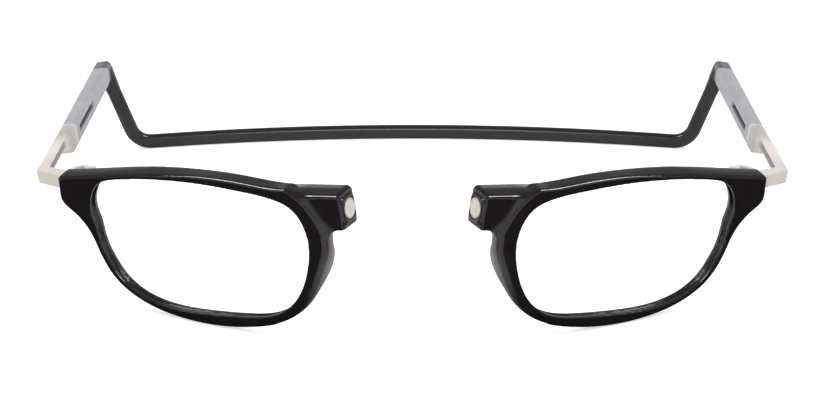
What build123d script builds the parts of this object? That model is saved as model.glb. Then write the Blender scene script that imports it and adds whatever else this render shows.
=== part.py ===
"""Reading glasses that open at the nose and close with magnets.

Two rigid half-fronts hang on metal links. Each link slides in a hollow sleeve, and one
springy band round the back of the head carries both sleeves. Millimetres, +Z up, the
front faces -Y, and the whole stands on its rims and on the band, with the bridge open.
The left side, at -X, is modelled, and the right side is its mirror image.
"""

import os
from math import atan2, cos, degrees, radians, sin, sqrt

from build123d import *

# How the open glasses stand
side_roll = 9.0             # lean of each side, top outwards, in degrees
front_swing = 28.3          # turn of a half-front at its screw, nose end forwards
arm_toe = 1.4               # the arms draw together towards the back, in degrees
arm_pitch = 1.3             # the arms fall towards the back, in degrees
screw_half_spread = 64.35   # each hinge screw's foot from the middle

# Half-front
opening_width = 51.4
opening_height = 29.4
opening_from_screw = 5.2
sole_wall = 2.45            # the rim below the opening
brow_wall = 1.55            # the rim above the opening
nose_wall = 4.3             # the rim on the nose side of the opening
rim_outer_overhang = 2.4    # the rim reaches this far outside the screw
rim_depth = 4.2             # at the brow
rear_taper = 1.4            # the rim is this much thinner at its foot
screw_behind_rim = 1.5
outer_corner_round = 0.9    # the rim's upper outer corner
outline_round = 1.5         # the two blunt corners of its outline
front_edge_round = 0.7
rear_edge_round = 0.3
rear_bevel = 0.6            # the opening widens by this much behind the lens

# Bridge block with the magnet
block_past_opening = 8.9    # its end face from the opening's nose side
block_length = 19.5         # with its root in the rim
block_setback = 0.8         # behind the face of the rim
block_depth = 6.0
block_height = 8.0
block_below_brow = 3.9
block_round = 0.9
end_pad_rise = 0.4
end_pad_side_margin = 0.5
end_pad_end_margin = 1.3    # above and below the pad
end_pad_round = 1.2
magnet_radius = 1.8
magnet_length = 2.0
cup_wall = 0.25
cup_floor = 0.4
glue_gap = 0.02

# Nose pad moulded behind the rim
pad_depth = 5.4
pad_thickness = 1.8
pad_embed = 1.5

# Lens
lens_edge = 1.0
lens_crown_radius = 500.0
lens_behind_front = 1.0
groove_depth = 0.5
groove_gap = 0.1

# Hinge
lug_radius = 2.4
lug_below_brow = 1.7
upper_lug = 1.3
lower_lug = 1.5
web_wall = 1.6              # the rim between the lugs' web and the opening
eye_height = 3.0
eye_radius = 2.0
eye_float = 0.1             # free height above and below the eye
eye_room = 0.3              # free ring round the eye
leg_relief = 0.9            # pocket in the rear of the rim for the leg
screw_radius = 0.7
screw_head_radius = 1.15
screw_head_height = 0.6
screw_slot_width = 0.3
screw_slot_depth = 0.3
screw_fit = 0.04
screw_end_above_lug = 0.3
insert_radius = 1.15
insert_floor = 0.1          # of the lower lug, under the insert

# Metal link
bar_width = 2.7
bar_height = 2.1
corner_out = 10.7           # outer corner of the link from the screw
corner_back = 8.8
leg_thickness = 2.1
bar_length = 21.0           # up to the flare of the collar
flare_length = 6.5
collar_length = 6.9
collar_pocket = 4.0
link_round = 0.4

# Sleeve and slider
sleeve_width = 3.4
sleeve_height = 5.0
sleeve_round = 0.8
solid_length = 12.54        # of the sleeve's middle line, between its bore and its bend
seam_gap = 0.06
bore_width = 1.7
bore_height = 3.0
slide_travel = 20.0
slider_fit = 0.08
tongue_length = 40.0
tongue_end_room = 3.0
tongue_pin_radius = 0.5
slot_height = 1.3
slot_end_play = 0.1
stop_pin_radius = 0.55
stop_pin_inset = 0.35       # its head lies this far under the sleeve's face
stop_pin_back = 24.2        # behind the seam, with the link pushed in
detent_length = 12.0
detent_height = 1.6
detent_thickness = 0.15
detent_start = 9.0          # behind the seam
detent_bow = 0.3
tip_outer_round = 5.5
tip_inner_round = 3.0
stub_length = 5.0
stub_margin = 0.25          # of the stub before and behind the band's section
stub_lean = 68.0            # fall of the stub below the arm, in degrees

# Headband
band_width = 2.8
band_height = 3.4
band_round = 0.9
rear_run = 10.18            # the band's rearmost line behind the sleeves' bends
rear_radius = 268.0
corner_inset = 7.1          # the band's corners inside the sleeves' bends
corner_run = 10.0           # straight run between the rear arc and a corner
corner_radius = 5.5
knee_run = 2.5              # straight run out of the stub
knee_radius = 6.0
flex_half = 35.0            # the band flexes this far from the middle
flex_gap = 0.6              # free width between the band's pieces at the flex

# One overrun serves all the cuts
overrun = 1.0

# Rim outline, as shares of rim_length and rim_height, from the outer end and the foot
outer_top_share = (0.0063, 0.972)
top_edge_shares = [(0.15, 0.984), (0.34, 1.0), (0.56, 0.986), (0.72, 0.951), (0.845, 0.916)]
nose_corner_share = (0.880, 0.912)
nose_edge_shares = [(0.932, 0.842), (0.982, 0.700), (1.0, 0.580), (0.972, 0.425)]
toe_edge_shares = [(0.922, 0.262), (0.868, 0.137), (0.787, 0.047), (0.665, 0.003), (0.52, 0.001)]
sole_edge_shares = [(0.385, 0.040), (0.25, 0.137), (0.163, 0.271), (0.115, 0.450), (0.093, 0.585)]
end_hollow_shares = [(0.070, 0.660), (0.040, 0.722), (0.010, 0.775)]
outer_foot_share = (0.0, 0.84)

# Lens opening, as shares of its own width and height
opening_shares = [
    (0.0, 0.687), (0.008, 0.855), (0.054, 0.953), (0.152, 0.993), (0.307, 1.0), (0.553, 0.973),
    (0.735, 0.926), (0.864, 0.879), (0.951, 0.805), (1.0, 0.600), (0.975, 0.367), (0.889, 0.128),
    (0.809, 0.040), (0.658, 0.0), (0.482, 0.007), (0.309, 0.038), (0.176, 0.114), (0.092, 0.222),
    (0.043, 0.355), (0.010, 0.535),
]

# Nose pad at its root and at its rear edge, as shares of rim_length and rim_height
pad_root_shares = [(0.850, 0.130), (0.915, 0.270), (0.955, 0.420), (0.962, 0.600)]
pad_rear_shares = [(0.838, 0.140), (0.888, 0.270), (0.922, 0.400), (0.918, 0.520)]

rim_length = rim_outer_overhang + opening_from_screw + opening_width + nose_wall
rim_height = sole_wall + opening_height + brow_wall
rim_back = -screw_behind_rim
rim_front = rim_back - rim_depth
block_reach = opening_from_screw + opening_width + block_past_opening
block_front = rim_front + block_setback
block_back = block_front + block_depth
block_head = rim_height - block_below_brow
block_foot = block_head - block_height
magnet_height = (block_foot + block_head) / 2
magnet_middle = (block_front + block_back) / 2
cup_radius = magnet_radius + glue_gap + cup_wall
cup_length = magnet_length + cup_floor
lug_head = rim_height - lug_below_brow
slot_head = lug_head - upper_lug
eye_head = slot_head - eye_float
eye_foot = eye_head - eye_height
slot_foot = eye_foot - eye_float
lug_foot = slot_foot - lower_lug
insert_length = lower_lug - insert_floor
collar_full = bar_length + flare_length
collar_end = collar_full + collar_length
bore_length = tongue_length + tongue_end_room
sleeve_reach = collar_end + seam_gap + bore_length + solid_length
sleeve_shift = (sleeve_width - bar_width) / 2
sleeve_drop = (sleeve_height - eye_height) / 2
stub_depth = band_height + 2 * stub_margin
band_middle = band_height / 2


def rim_point(share):
    """A point of the rim's outline in the half-front's own frame."""
    return (share[0] * rim_length - rim_outer_overhang, share[1] * rim_height)


def rim_outline():
    """The rim's outline, which closes round the lens and leaves the bridge block out."""
    top_edge = [rim_point(s) for s in [outer_top_share] + top_edge_shares + [nose_corner_share]]
    round_edge = nose_edge_shares + toe_edge_shares + sole_edge_shares + end_hollow_shares
    lower_edge = [rim_point(s) for s in [nose_corner_share] + round_edge + [outer_foot_share]]
    top = Spline(*top_edge)
    lower = Spline(*lower_edge)
    end = Line(rim_point(outer_foot_share), rim_point(outer_top_share))
    face = make_face([top, lower, end])
    outer_corner = face.vertices().sort_by_distance(rim_point(outer_top_share))[0]
    face = fillet(outer_corner, outer_corner_round)
    for share in (outer_foot_share, nose_corner_share):
        blunt_corner = face.vertices().sort_by_distance(rim_point(share))[0]
        face = fillet(blunt_corner, outline_round)
    return face


def opening_outline(grow):
    """The lens opening, grown all round by a given width."""
    wide = opening_width + 2 * grow
    tall = opening_height + 2 * grow
    left = opening_from_screw - grow
    foot = sole_wall - grow
    points = [(left + x * wide, foot + z * tall) for x, z in opening_shares]
    return make_face(Spline(*points, periodic=True))


def upright(sketch, start, depth):
    """Extrude a face drawn in X and Z backwards from a depth along Y."""
    return extrude(Plane.XZ.offset(-start) * sketch, amount=-depth)


def box_between(x_range, y_range, z_range):
    """A block between two corners, each given as a range along one axis."""
    size = [high - low for low, high in (x_range, y_range, z_range)]
    middle = [(high + low) / 2 for low, high in (x_range, y_range, z_range)]
    return Location(middle) * Box(*size)


def post(radius, foot, head, at=(0, 0)):
    """An upright cylinder between two heights."""
    return Location((at[0], at[1], (foot + head) / 2)) * Cylinder(radius, head - foot)


def rod_x(radius, start, end, depth, height):
    """A cylinder along X."""
    place = Location(((start + end) / 2, depth, height), (0, 90, 0))
    return place * Cylinder(radius, end - start)


def rear_wedge():
    """What the rim's sloping rear face leaves out, thickest at the foot."""
    slope = rear_taper / rim_height
    low, high = -overrun, rim_height + overrun
    low_back = rim_back - rear_taper + slope * low
    high_back = rim_back - rear_taper + slope * high
    far = rim_back + overrun
    face = make_face(Polyline((low_back, low), (high_back, high), (far, high), (far, low), close=True))
    side = Plane((-rim_outer_overhang - overrun, 0, 0), x_dir=(0, 1, 0), z_dir=(1, 0, 0))
    return extrude(side * face, amount=rim_length + 2 * overrun)


def bridge_block():
    """The block beside the nose, with a raised pad on its end face."""
    body = box_between(
        (block_reach - block_length, block_reach - end_pad_rise),
        (block_front, block_back),
        (block_foot, block_head),
    )
    long_edges = body.edges().filter_by(Axis.X)
    body = fillet(long_edges, block_round)
    pad_depth_there = block_depth - 2 * end_pad_side_margin
    pad_height_there = block_height - 2 * end_pad_end_margin
    pad_face = RectangleRounded(pad_depth_there, pad_height_there, end_pad_round)
    pad_plane = Plane((block_reach - end_pad_rise, magnet_middle, magnet_height), x_dir=(0, 1, 0),
                      z_dir=(1, 0, 0))
    return body + extrude(pad_plane * pad_face, amount=end_pad_rise)


def nose_pad():
    """A thin wing that follows the nose side of the rim and flares outwards behind it."""
    def wing(shares):
        outside = [rim_point(share) for share in shares]
        inside = [(x - pad_thickness, z) for x, z in outside]
        ends = [Line(outside[0], inside[0]), Line(outside[-1], inside[-1])]
        return make_face([Spline(*outside), Spline(*inside)] + ends)

    front = Plane.XZ.offset(-(rim_back - pad_embed)) * wing(pad_root_shares)
    rear = Plane.XZ.offset(-(rim_back + pad_depth)) * wing(pad_rear_shares)
    return loft([front, rear])


def hinge_lugs():
    """Two lugs behind the outer end of the rim, one over and one under the link's eye."""
    root = rim_back - leg_relief
    side = lug_radius * cos(radians(45))
    reach = opening_from_screw - web_wall
    face = make_face(Polyline(
        (-side, root), (reach, root), (reach, rim_back), (side, side), (-side, side), close=True
    ))
    web = extrude(Plane.XY.offset(lug_foot) * face, amount=lug_head - lug_foot)
    return web + post(lug_radius, lug_foot, lug_head)


def half_front():
    """Rim, bridge block, nose pad and hinge lugs in one moulding, in the front's own frame."""
    rim = upright(rim_outline(), rim_front, rim_depth) - rear_wedge()
    front_edges = rim.faces().sort_by(Axis.Y)[0].edges()
    rim = fillet(front_edges, front_edge_round)
    rim = fillet(rim.faces().sort_by(Axis.Y)[-1].edges(), rear_edge_round)
    body = rim + bridge_block() + nose_pad() + hinge_lugs()
    lens_rear = rim_front + lens_behind_front + lens_edge + groove_gap
    body -= upright(opening_outline(0), rim_front - overrun, rim_depth + pad_depth + 2 * overrun)
    body -= upright(opening_outline(groove_depth), lens_rear - lens_edge - 2 * groove_gap,
                    lens_edge + 2 * groove_gap)
    bevel_mouth = Plane.XZ.offset(-lens_rear - groove_gap) * opening_outline(0)
    bevel_rear = Plane.XZ.offset(-rim_back) * opening_outline(rear_bevel)
    body -= loft([bevel_mouth, bevel_rear])
    body -= rod_x(cup_radius + glue_gap, block_reach - cup_length, block_reach + overrun,
                  magnet_middle, magnet_height)
    side_reach = lug_radius + overrun
    body -= post(eye_radius + eye_room, slot_foot, slot_head)
    body -= box_between((-side_reach, side_reach), (rim_back, side_reach), (slot_foot, slot_head))
    body -= box_between((-side_reach, 0), (rim_back - leg_relief, 0), (slot_foot, slot_head))
    body -= post(screw_radius + screw_fit, slot_head - overrun, lug_head + overrun)
    body -= post(screw_head_radius + screw_fit, lug_head - screw_head_height, lug_head + overrun)
    body -= post(insert_radius + glue_gap, slot_foot - insert_length, slot_foot + overrun)
    return body


def lens():
    """A clear lens with a crowned front, its edge held in the rim's groove."""
    edge = groove_depth - groove_gap
    front = rim_front + lens_behind_front
    flange = upright(opening_outline(edge), front, lens_edge)
    blank = upright(opening_outline(-groove_gap), rim_front, lens_behind_front + lens_edge)
    middle_x = opening_from_screw + opening_width / 2
    middle_z = sole_wall + opening_height / 2
    half_diagonal = sqrt(opening_width ** 2 + opening_height ** 2) / 2
    sagitta = lens_crown_radius - sqrt(lens_crown_radius ** 2 - half_diagonal ** 2)
    centre = front - sagitta + lens_crown_radius
    return flange + (blank & (Location((middle_x, centre, middle_z)) * Sphere(lens_crown_radius)))


def magnet_cup():
    """A thin steel cup that holds the magnet in the block."""
    mouth = block_reach
    cup = rod_x(cup_radius, mouth - cup_length, mouth, magnet_middle, magnet_height)
    return cup - rod_x(magnet_radius + glue_gap, mouth - magnet_length, mouth + overrun,
                       magnet_middle, magnet_height)


def magnet():
    """A round magnet, flush with the end face."""
    return rod_x(magnet_radius, block_reach - magnet_length, block_reach, magnet_middle, magnet_height)


def hinge_screw():
    """A slotted screw down through the upper lug and the eye into the insert."""
    foot = slot_foot - insert_length + screw_end_above_lug
    screw = post(screw_radius, foot, lug_head - screw_head_height)
    screw += post(screw_head_radius, lug_head - screw_head_height, lug_head)
    slot = box_between(
        (-screw_head_radius, screw_head_radius),
        (-screw_slot_width / 2, screw_slot_width / 2),
        (lug_head - screw_slot_depth, lug_head),
    )
    return screw - slot


def hinge_insert():
    """A brass bush for the screw's thread, moulded into the lower lug."""
    foot = slot_foot - insert_length
    bush = post(insert_radius, foot, slot_foot)
    return bush - post(screw_radius + glue_gap, foot - overrun, slot_foot + overrun)


def sleeve_section(depth, wide, tall, shift, drop, rounding):
    """A rounded rectangle across the arm at a distance along it."""
    plane = Plane((shift, depth, -drop), x_dir=(1, 0, 0), z_dir=(0, 1, 0))
    return plane * RectangleRounded(wide, tall, rounding)


def link_bar():
    """The straight bar of the link and the collar that takes up the sleeve's section."""
    bar_rise = (eye_height - bar_height) / 2
    bar_face = sleeve_section(0, bar_width, bar_height, 0, -bar_rise, link_round)
    collar_face = sleeve_section(
        collar_full, sleeve_width, sleeve_height, sleeve_shift, sleeve_drop, sleeve_round
    )
    flare_face = sleeve_section(bar_length, bar_width, bar_height, 0, -bar_rise, link_round)
    bar = extrude(bar_face, amount=bar_length)
    flare = loft([flare_face, collar_face])
    collar = extrude(collar_face, amount=collar_end - collar_full)
    pocket = box_between(
        (sleeve_shift - bore_width / 2, sleeve_shift + bore_width / 2),
        (collar_end - collar_pocket, collar_end + overrun),
        (-sleeve_drop - bore_height / 2, -sleeve_drop + bore_height / 2),
    )
    pin_hole = post(tongue_pin_radius + glue_gap, -sleeve_drop - sleeve_height,
                    -sleeve_drop + sleeve_height, (sleeve_shift, collar_end - collar_pocket / 2))
    return bar + flare + collar - pocket - pin_hole


def link_leg():
    """The short leg from the corner to the eye on the screw, seen from above."""
    run = sqrt(corner_out ** 2 + corner_back ** 2)
    front_turn = degrees(atan2(corner_back, corner_out)) + degrees(atan2(eye_radius, run))
    touch = 180 + 90 - front_turn
    outer = (-corner_out, corner_back)
    front_touch = (eye_radius * cos(radians(touch)), eye_radius * sin(radians(touch)))
    rear_touch = (0, eye_radius)
    rise = leg_thickness / cos(radians(front_turn))
    inner = (-corner_out + bar_width, corner_back + leg_thickness / 2)
    heel = (-corner_out, corner_back + rise)
    face = make_face(Polyline(outer, front_touch, (0, 0), rear_touch, inner, heel, close=True))
    leg = extrude(Plane.XY.offset(eye_foot) * face, amount=eye_height)
    return leg + post(eye_radius, eye_foot, eye_head)


def temple_link():
    """The metal link: eye, short leg, bar and collar, in the side's frame."""
    hole = post(screw_radius + screw_fit, eye_foot - overrun, eye_head + overrun)
    return link_leg() + arm_frame * link_bar() - hole


def slider_tongue():
    """A nylon tongue, pinned in the collar, that runs in the sleeve."""
    half_wide = bore_width / 2 - slider_fit
    half_tall = bore_height / 2 - slider_fit
    back = collar_end + tongue_length
    tongue = box_between(
        (sleeve_shift - half_wide, sleeve_shift + half_wide),
        (collar_end - collar_pocket, back),
        (-sleeve_drop - half_tall, -sleeve_drop + half_tall),
    )
    pin_at = (sleeve_shift, collar_end - collar_pocket / 2)
    tongue -= post(tongue_pin_radius + glue_gap, -sleeve_height - sleeve_drop, sleeve_height, pin_at)
    outside = sleeve_shift - half_wide
    start = collar_end + detent_start
    tongue -= box_between(
        (outside - overrun, outside + detent_bow + detent_thickness),
        (start - detent_bow, start + detent_length + detent_bow),
        (-sleeve_drop - detent_height / 2 - slider_fit, -sleeve_drop + detent_height / 2 + slider_fit),
    )
    return tongue - stop_pin_rod(glue_gap)


def tongue_pin():
    """The upright pin that holds the tongue in the collar."""
    foot = -sleeve_drop - sleeve_height / 2
    return post(tongue_pin_radius, foot, foot + sleeve_height,
                (sleeve_shift, collar_end - collar_pocket / 2))


def stop_pin_rod(grow):
    """The cross pin that runs in the sleeve's slot, or its hole in the tongue."""
    half_wide = bore_width / 2 - slider_fit
    end = sleeve_shift + sleeve_width / 2 - stop_pin_inset
    return rod_x(stop_pin_radius + grow, sleeve_shift, end, collar_end + stop_pin_back, -sleeve_drop)


def detent_spring():
    """A bowed steel leaf in the tongue's side that presses on the sleeve."""
    outside = sleeve_shift - bore_width / 2 + slider_fit
    start = collar_end + detent_start
    foot = outside + detent_bow
    crest = outside
    ends = [(foot, start), (foot, start + detent_length)]
    near = ThreePointArc(ends[0], (crest, start + detent_length / 2), ends[1])
    far = ThreePointArc(
        (foot + detent_thickness, start),
        (crest + detent_thickness, start + detent_length / 2),
        (foot + detent_thickness, start + detent_length),
    )
    caps = [Line(ends[0], far @ 0), Line(ends[1], far @ 1)]
    face = make_face([near, far] + caps)
    low = -sleeve_drop - detent_height / 2
    return extrude(Plane.XY.offset(low) * face, amount=detent_height)


def sleeve():
    """The hollow sleeve with its tip turned down towards the band, in the arm's frame."""
    front = collar_end + seam_gap
    top = -sleeve_drop + sleeve_height / 2
    foot = -sleeve_drop - sleeve_height / 2
    along, down = cos(leg_turn), sin(leg_turn)
    half = stub_depth / 2
    # Each long side of the stub meets the sleeve's top or foot line
    back_top = sleeve_reach + (half + (-sleeve_drop - top) * -along) / down
    back_foot = sleeve_reach + (-half + (-sleeve_drop - foot) * -along) / down
    end = (sleeve_reach + stub_length * along, -sleeve_drop - stub_length * down)
    stub_back = (end[0] + half * down, end[1] + half * along)
    stub_front = (end[0] - half * down, end[1] - half * along)
    corners = [(front, foot), (front, top), (back_top, top), stub_back, stub_front, (back_foot, foot)]
    outline = FilletPolyline(*corners, radius=[0, 0, tip_outer_round, 0, 0, tip_inner_round],
                             close=True)
    side = Plane((sleeve_shift - sleeve_width / 2, 0, 0), x_dir=(0, 1, 0), z_dir=(1, 0, 0))
    body = extrude(side * make_face(outline), amount=sleeve_width)
    side_edges = body.faces().sort_by(Axis.X)[0].edges() + body.faces().sort_by(Axis.X)[-1].edges()
    body = fillet(side_edges.filter_by(lambda edge: edge.length > stub_depth), sleeve_round)
    bore = box_between(
        (sleeve_shift - bore_width / 2, sleeve_shift + bore_width / 2),
        (front - overrun, front + bore_length),
        (-sleeve_drop - bore_height / 2, -sleeve_drop + bore_height / 2),
    )
    room = stop_pin_radius + slot_end_play
    slot_back = collar_end + stop_pin_back + room
    slot_length = slide_travel + 2 * room
    slot_middle = slot_back - slot_length / 2
    slot_plane = Plane((sleeve_shift, slot_middle, -sleeve_drop), x_dir=(0, 1, 0), z_dir=(1, 0, 0))
    slot = extrude(slot_plane * SlotOverall(slot_length, slot_height), amount=sleeve_width)
    return body - bore - slot


def rear_point(half):
    """A point of the rear arc at a distance left of the middle, with the arc's direction."""
    turn = atan2(half, sqrt(rear_radius ** 2 - half ** 2))
    place = Vector(-half, rear_depth - rear_radius * (1 - cos(turn)), band_middle)
    return place, Vector(cos(turn), sin(turn), 0)


def band_profile(path):
    """The band's rounded section at the start of a path."""
    start = Plane(path @ 0, x_dir=Vector(0, 0, 1).cross(path % 0), z_dir=path % 0)
    return start * RectangleRounded(band_width, band_height, band_round)


def headband_leg():
    """The band from its flex at the back round the corner and up to the sleeve's stub."""
    stub_end = arm_point(stub_length)
    knee = arm_point(stub_length + knee_run)
    flex_at, _ = rear_point(flex_half + flex_gap / 2)
    arc_at, direction = rear_point(corner_half - corner_run)
    corner = arc_at - direction * (corner_run / direction.X)
    mid_at, _ = rear_point((flex_half + corner_half - corner_run) / 2)
    bend = FilletPolyline(arc_at, corner, knee, stub_end, radius=[corner_radius, knee_radius])
    path = Wire(ThreePointArc(flex_at, mid_at, arc_at).edges() + bend.edges())
    return sweep(band_profile(path), path=path)


def headband_rear():
    """The middle of the band, behind the head."""
    left, _ = rear_point(flex_half - flex_gap / 2)
    middle, _ = rear_point(0)
    path = ThreePointArc(left, middle, Vector(-left.X, left.Y, left.Z))
    return sweep(band_profile(path), path=path)


def arm_point(run):
    """A point at a distance down the stub's middle line from where the sleeve turns."""
    along, down = cos(leg_turn), sin(leg_turn)
    place = Location((sleeve_shift, sleeve_reach + run * along, -sleeve_drop - run * down))
    return (arm_world * place).position


# Frames: the side stands on its screw, the front swings about it, the arm runs back from it
roll_frame = Location((0, 0, 0), (0, -side_roll, 0))
swing_frame = roll_frame * Location((0, 0, 0), (0, 0, -front_swing))
front_body = half_front()
foot_drop = (swing_frame * front_body).bounding_box().min.Z
side_frame = Location((-screw_half_spread, 0, -foot_drop)) * roll_frame
front_frame = Location((-screw_half_spread, 0, -foot_drop)) * swing_frame
arm_frame = Location(
    (-corner_out + bar_width / 2, corner_back, eye_foot + eye_height / 2),
    (-arm_pitch, 0, -arm_toe),
)
arm_world = side_frame * arm_frame
leg_turn = radians(stub_lean)

# The band's rear line and corners follow the place where the sleeve bends down
sleeve_bend = arm_point(0)
rear_depth = sleeve_bend.Y + rear_run
corner_half = -sleeve_bend.X - corner_inset

# The origin is set midway between the front of the rims and the back of the band
front_most = (front_frame * front_body).bounding_box().min.Y
rear_most = rear_depth + band_width / 2
to_origin = Location((0, -(front_most + rear_most) / 2, 0))

side_pieces = {
    "half_front": front_frame * front_body,
    "lens": front_frame * lens(),
    "magnet": front_frame * magnet(),
    "magnet_cup": front_frame * magnet_cup(),
    "hinge_screw": front_frame * hinge_screw(),
    "hinge_insert": front_frame * hinge_insert(),
    "temple_link": side_frame * temple_link(),
    "slider_tongue": arm_world * slider_tongue(),
    "tongue_pin": arm_world * tongue_pin(),
    "stop_pin": arm_world * stop_pin_rod(0),
    "detent_spring": arm_world * detent_spring(),
    "sleeve": arm_world * sleeve(),
    "headband_leg": headband_leg(),
}

os.makedirs("parts", exist_ok=True)
export_step(to_origin * headband_rear(), "parts/headband_rear.step")
for name, piece in side_pieces.items():
    left = to_origin * piece
    export_step(left, f"parts/left_{name}.step")
    export_step(mirror(left, about=Plane.YZ), f"parts/right_{name}.step")
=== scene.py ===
"""Magnetic bridge reading glasses, open on a white table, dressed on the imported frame.

Metres, in the frame's own axes: +Z up, the fronts face -Y, the left side is at -X. Pieces
are made for the left side, in the front's or the arm's own axes, and mirrored for the right.
"""

import math
from functools import partial

import bmesh
import bpy
import numpy
from mathutils import Matrix, Vector
from mathutils.kdtree import KDTree


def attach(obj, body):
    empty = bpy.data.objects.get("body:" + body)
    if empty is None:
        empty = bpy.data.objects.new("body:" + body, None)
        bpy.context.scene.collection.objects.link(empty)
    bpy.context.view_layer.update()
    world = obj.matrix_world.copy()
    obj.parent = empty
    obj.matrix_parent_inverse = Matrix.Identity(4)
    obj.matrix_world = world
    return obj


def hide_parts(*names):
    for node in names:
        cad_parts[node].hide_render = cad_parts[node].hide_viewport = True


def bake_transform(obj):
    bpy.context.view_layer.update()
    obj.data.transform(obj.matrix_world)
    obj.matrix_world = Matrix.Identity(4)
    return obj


MM = 0.001
SIDES = ("left", "right")
MIRROR = Matrix.Scale(-1, 4, (1, 0, 0))

# The photograph's frame and camera
PHOTO_WIDTH_PX = 830
VIEW_DOWN = math.radians(19.0)
VIEW_DISTANCE = 537.6 * MM
VIEW_TARGET = Vector((0.0, -61.16, 27.27)) * MM
FOCAL_PX = 2688.0
SENSOR_WIDTH_MM = 36.0
MIDDLE_LEFT_OF_FRAME_PX = 2.5

# How the left side stands, as in the frame: its screw's foot, its lean and its swing
SCREW_FOOT = Vector((-64.35, -37.56, -3.73)) * MM
SIDE_ROLL = math.radians(9.0)
FRONT_SWING = math.radians(28.3)
ARM_START = Vector((-9.35, 8.8, 28.8)) * MM
ARM_PITCH = math.radians(1.3)
ARM_TOE = math.radians(1.4)

# Half-front, in its own axes. A pair of values says where a form starts and where it is full.
RIM_FRONT = -5.7 * MM
RIM_BACK = -1.5 * MM
RIM_CENTRE = Vector((31.0, 0, 17.0)) * MM
RIM_SIDE = (-4.6 * MM, -2.6 * MM)  # the rim's outside is read between these depths
RIM_SLOPE = 0.2 * MM
RIM_TOP_SLOPE = 0.4 * MM
SLOPE_REACH = 1.2 * MM
SLOPE_FADE = (20.0 * MM, 36.0 * MM)
SLOPE_END = (53.0 * MM, 49.0 * MM)
NOSE_EDGE = [(60.7 * MM, 21.4 * MM), (59.76 * MM, 23.4 * MM), (56.6 * MM, 28.1 * MM),
             (53.3 * MM, 30.46 * MM)]
BLOCK_END = 65.1 * MM
BLOCK_FRONT = -4.9 * MM
BLOCK_BACK = 1.1 * MM
BLOCK_FOOT = 21.5 * MM
BLOCK_HEAD = 29.5 * MM
BLOCK_ROUND = 0.9 * MM
BLOCK_IN_RIM = 1.6 * MM
BLOCK_STEPS = 46
DISH_REACH = 4.6 * MM      # the dish in the block's face runs this far from the rim's crease
DISH_RISE = 0.52 * MM
DISH_DEPTH = (BLOCK_FRONT + 2.4 * MM, BLOCK_FRONT + 0.9 * MM)
LIP_RISE = 0.95 * MM       # the lip that carries the rim's top line on over the block
LIP_RUN = (57.5 * MM, 51.5 * MM)
LIP_DEPTH = (-1.0 * MM, -4.0 * MM)
LIP_HEIGHT = (28.0 * MM, 29.0 * MM)
FILLET_RISE = 1.3 * MM     # under the block, where it meets the side towards the nose
FILLET_END = 63.7 * MM
FILLET_RUN = 3.0 * MM
FILLET_HEIGHT = (22.8 * MM, 21.8 * MM)
TOP_SLOPE = 0.45 * MM
TOP_SLOPE_RUN = (54.0 * MM, 59.0 * MM)
TOP_SLOPE_HEIGHT = (27.6 * MM, 29.1 * MM)
TOP_SLOPE_DEPTH = (-1.4 * MM, BLOCK_FRONT)
END_ROUND = 0.3 * MM
END_RUN = (BLOCK_END - 1.1 * MM, BLOCK_END)
EDGE_REACH = 1.6 * MM
NOSE_SIDE_START = 38.0 * MM
NOSE_SIDE_FOOT = 1.0 * MM
NOSE_SIDE_HEAD = 20.8 * MM
NOSE_SIDE_BACK = 2.5 * MM
NOSE_SIDE_PASSES = 40
NOSE_SWELL = 0.5 * MM
SWELL_RUN = (NOSE_SIDE_START, 43.0 * MM)
SWELL_FOOT = (1.5 * MM, 7.5 * MM)
SWELL_HEAD = (20.0 * MM, 13.0 * MM)
SWELL_DEPTH = (-4.6 * MM, -2.1 * MM)
SWELL_TURN = (0.0, 0.6)

# The pale plate on the upper lug: its reach from the screw each way and its round part
LUG_HEAD = 31.7 * MM
CAP_POINTS = 48
CAP_HOLE = 1.22 * MM
CAP_RADIUS = 2.3 * MM
CAP_INWARD = 3.4 * MM
CAP_OUTWARD = 1.7 * MM
CAP_BACK = 1.7 * MM
CAP_FRONT = 1.35 * MM
CAP_BEVEL = 0.12 * MM
CAP_SUNK = -0.05 * MM
CAP_SHOULDER = 0.12 * MM
CAP_TOP = 0.22 * MM

# Headband and the sleeve's tip, as in the frame
BAND_WIDTH = 2.8 * MM
BAND_HEIGHT = 3.4 * MM
BAND_ROUND = 1.2 * MM
BAND_MIDDLE = 1.7 * MM
REAR_LINE = 71.34 * MM
REAR_RADIUS = 268.0 * MM
REAR_ARC_HALF = 58.0 * MM
CORNER_RUN = 10.0 * MM
CORNER_RADIUS = 5.5 * MM
SLEEVE_BEND = Vector((0.35, 90.0, -1.0)) * MM
SLEEVE_FOOT = -3.52 * MM
BAND_STEPS = 60
TIP_STEPS = 12
TIP_LENGTH = 6.0 * MM

# Link and sleeve, in the arm's own axes
BAR_INSIDE = 1.45 * MM
CHANNEL_MIDDLE = 0.35 * MM
CHANNEL_DEPTH = 0.4 * MM
CHANNEL_START = (1.6 * MM, 2.6 * MM)
CHANNEL_END = (22.0 * MM, 20.0 * MM)
CHANNEL_EDGE = (0.95 * MM, 0.6 * MM)
COAT_END = 86.0 * MM       # where the silver coat meets the black tip
COAT_MIDDLE = -1.0 * MM
COAT_SAG = 0.64 / MM
COAT_EDGE = 0.3 * MM

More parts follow.
